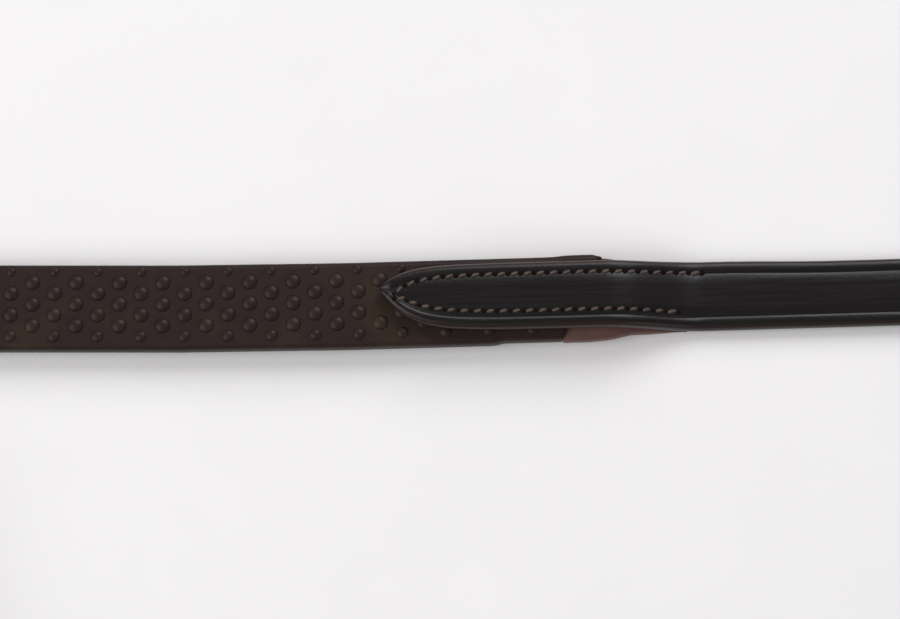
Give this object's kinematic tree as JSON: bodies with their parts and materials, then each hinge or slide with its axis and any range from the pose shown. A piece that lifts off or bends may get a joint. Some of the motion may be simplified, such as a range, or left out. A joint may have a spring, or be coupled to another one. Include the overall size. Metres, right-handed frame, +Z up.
{
  "type": "leather reins",
  "caption": "Pair of leather reins with rubber pimple grips, hook-stud bit ends with keepers and a small centre buckle, laid out with both sides coiled flat.",
  "frame": {"origin": "middle of the object's footprint, on the surface that the reins lie on", "axes": "+X along the laid-out run from the left rein's coil to the right rein's coil, +Z up out of the surface"},
  "size_m": [0.7362, 0.181, 0.0219],
  "materials": {
    "bridle_leather": "waxed, burnished edges",
    "core_leather": "matt",
    "grip_rubber": "moulded pimples",
    "stainless_steel": "polished"
  },
  "bodies": {
    "reins": {"left_rear_strap": "bridle_leather", "right_rear_strap": "bridle_leather", "left_front_strap": "bridle_leather", "right_front_strap": "bridle_leather", "left_billet": "bridle_leather", "right_billet": "bridle_leather", "left_fixed_keeper": "bridle_leather", "right_fixed_keeper": "bridle_leather", "buckle_fixed_keeper": "bridle_leather", "left_grip_core": "core_leather", "right_grip_core": "core_leather", "left_rubber_grip": "grip_rubber", "right_rubber_grip": "grip_rubber", "left_hook_stud": "stainless_steel", "right_hook_stud": "stainless_steel", "left_stud_burr": "stainless_steel", "right_stud_burr": "stainless_steel"},
    "buckle": {"buckle_frame": "stainless_steel"},
    "tongue": {"buckle_tongue": "stainless_steel"},
    "buckle_slider": {"buckle_running_keeper": "bridle_leather"},
    "left_slider": {"left_running_keeper": "bridle_leather"},
    "right_slider": {"right_running_keeper": "bridle_leather"}
  },
  "joints": [
    {"name": "buckle_tilt", "type": "hinge", "parent": "reins", "child": "buckle", "pos_m": [0.14922, 0.07582, 0.00555], "axis": [0, -1, 0], "range_deg": [0, 5]},
    {"name": "tongue_lift", "type": "hinge", "parent": "buckle", "child": "tongue", "pos_m": [0.14922, 0.07582, 0.00555], "axis": [0, -1, 0], "range_deg": [0, 8]},
    {"name": "buckle_keeper_slide", "type": "slide", "parent": "reins", "child": "buckle_slider", "axis": [1, 0, 0], "range_m": [-0.027, 0.018]},
    {"name": "left_keeper_slide", "type": "slide", "parent": "reins", "child": "left_slider", "axis": [1, 0, 0], "range_m": [-0.01, 0.011]},
    {"name": "right_keeper_slide", "type": "slide", "parent": "reins", "child": "right_slider", "axis": [-1, 0, 0], "range_m": [-0.01, 0.011]}
  ]
}
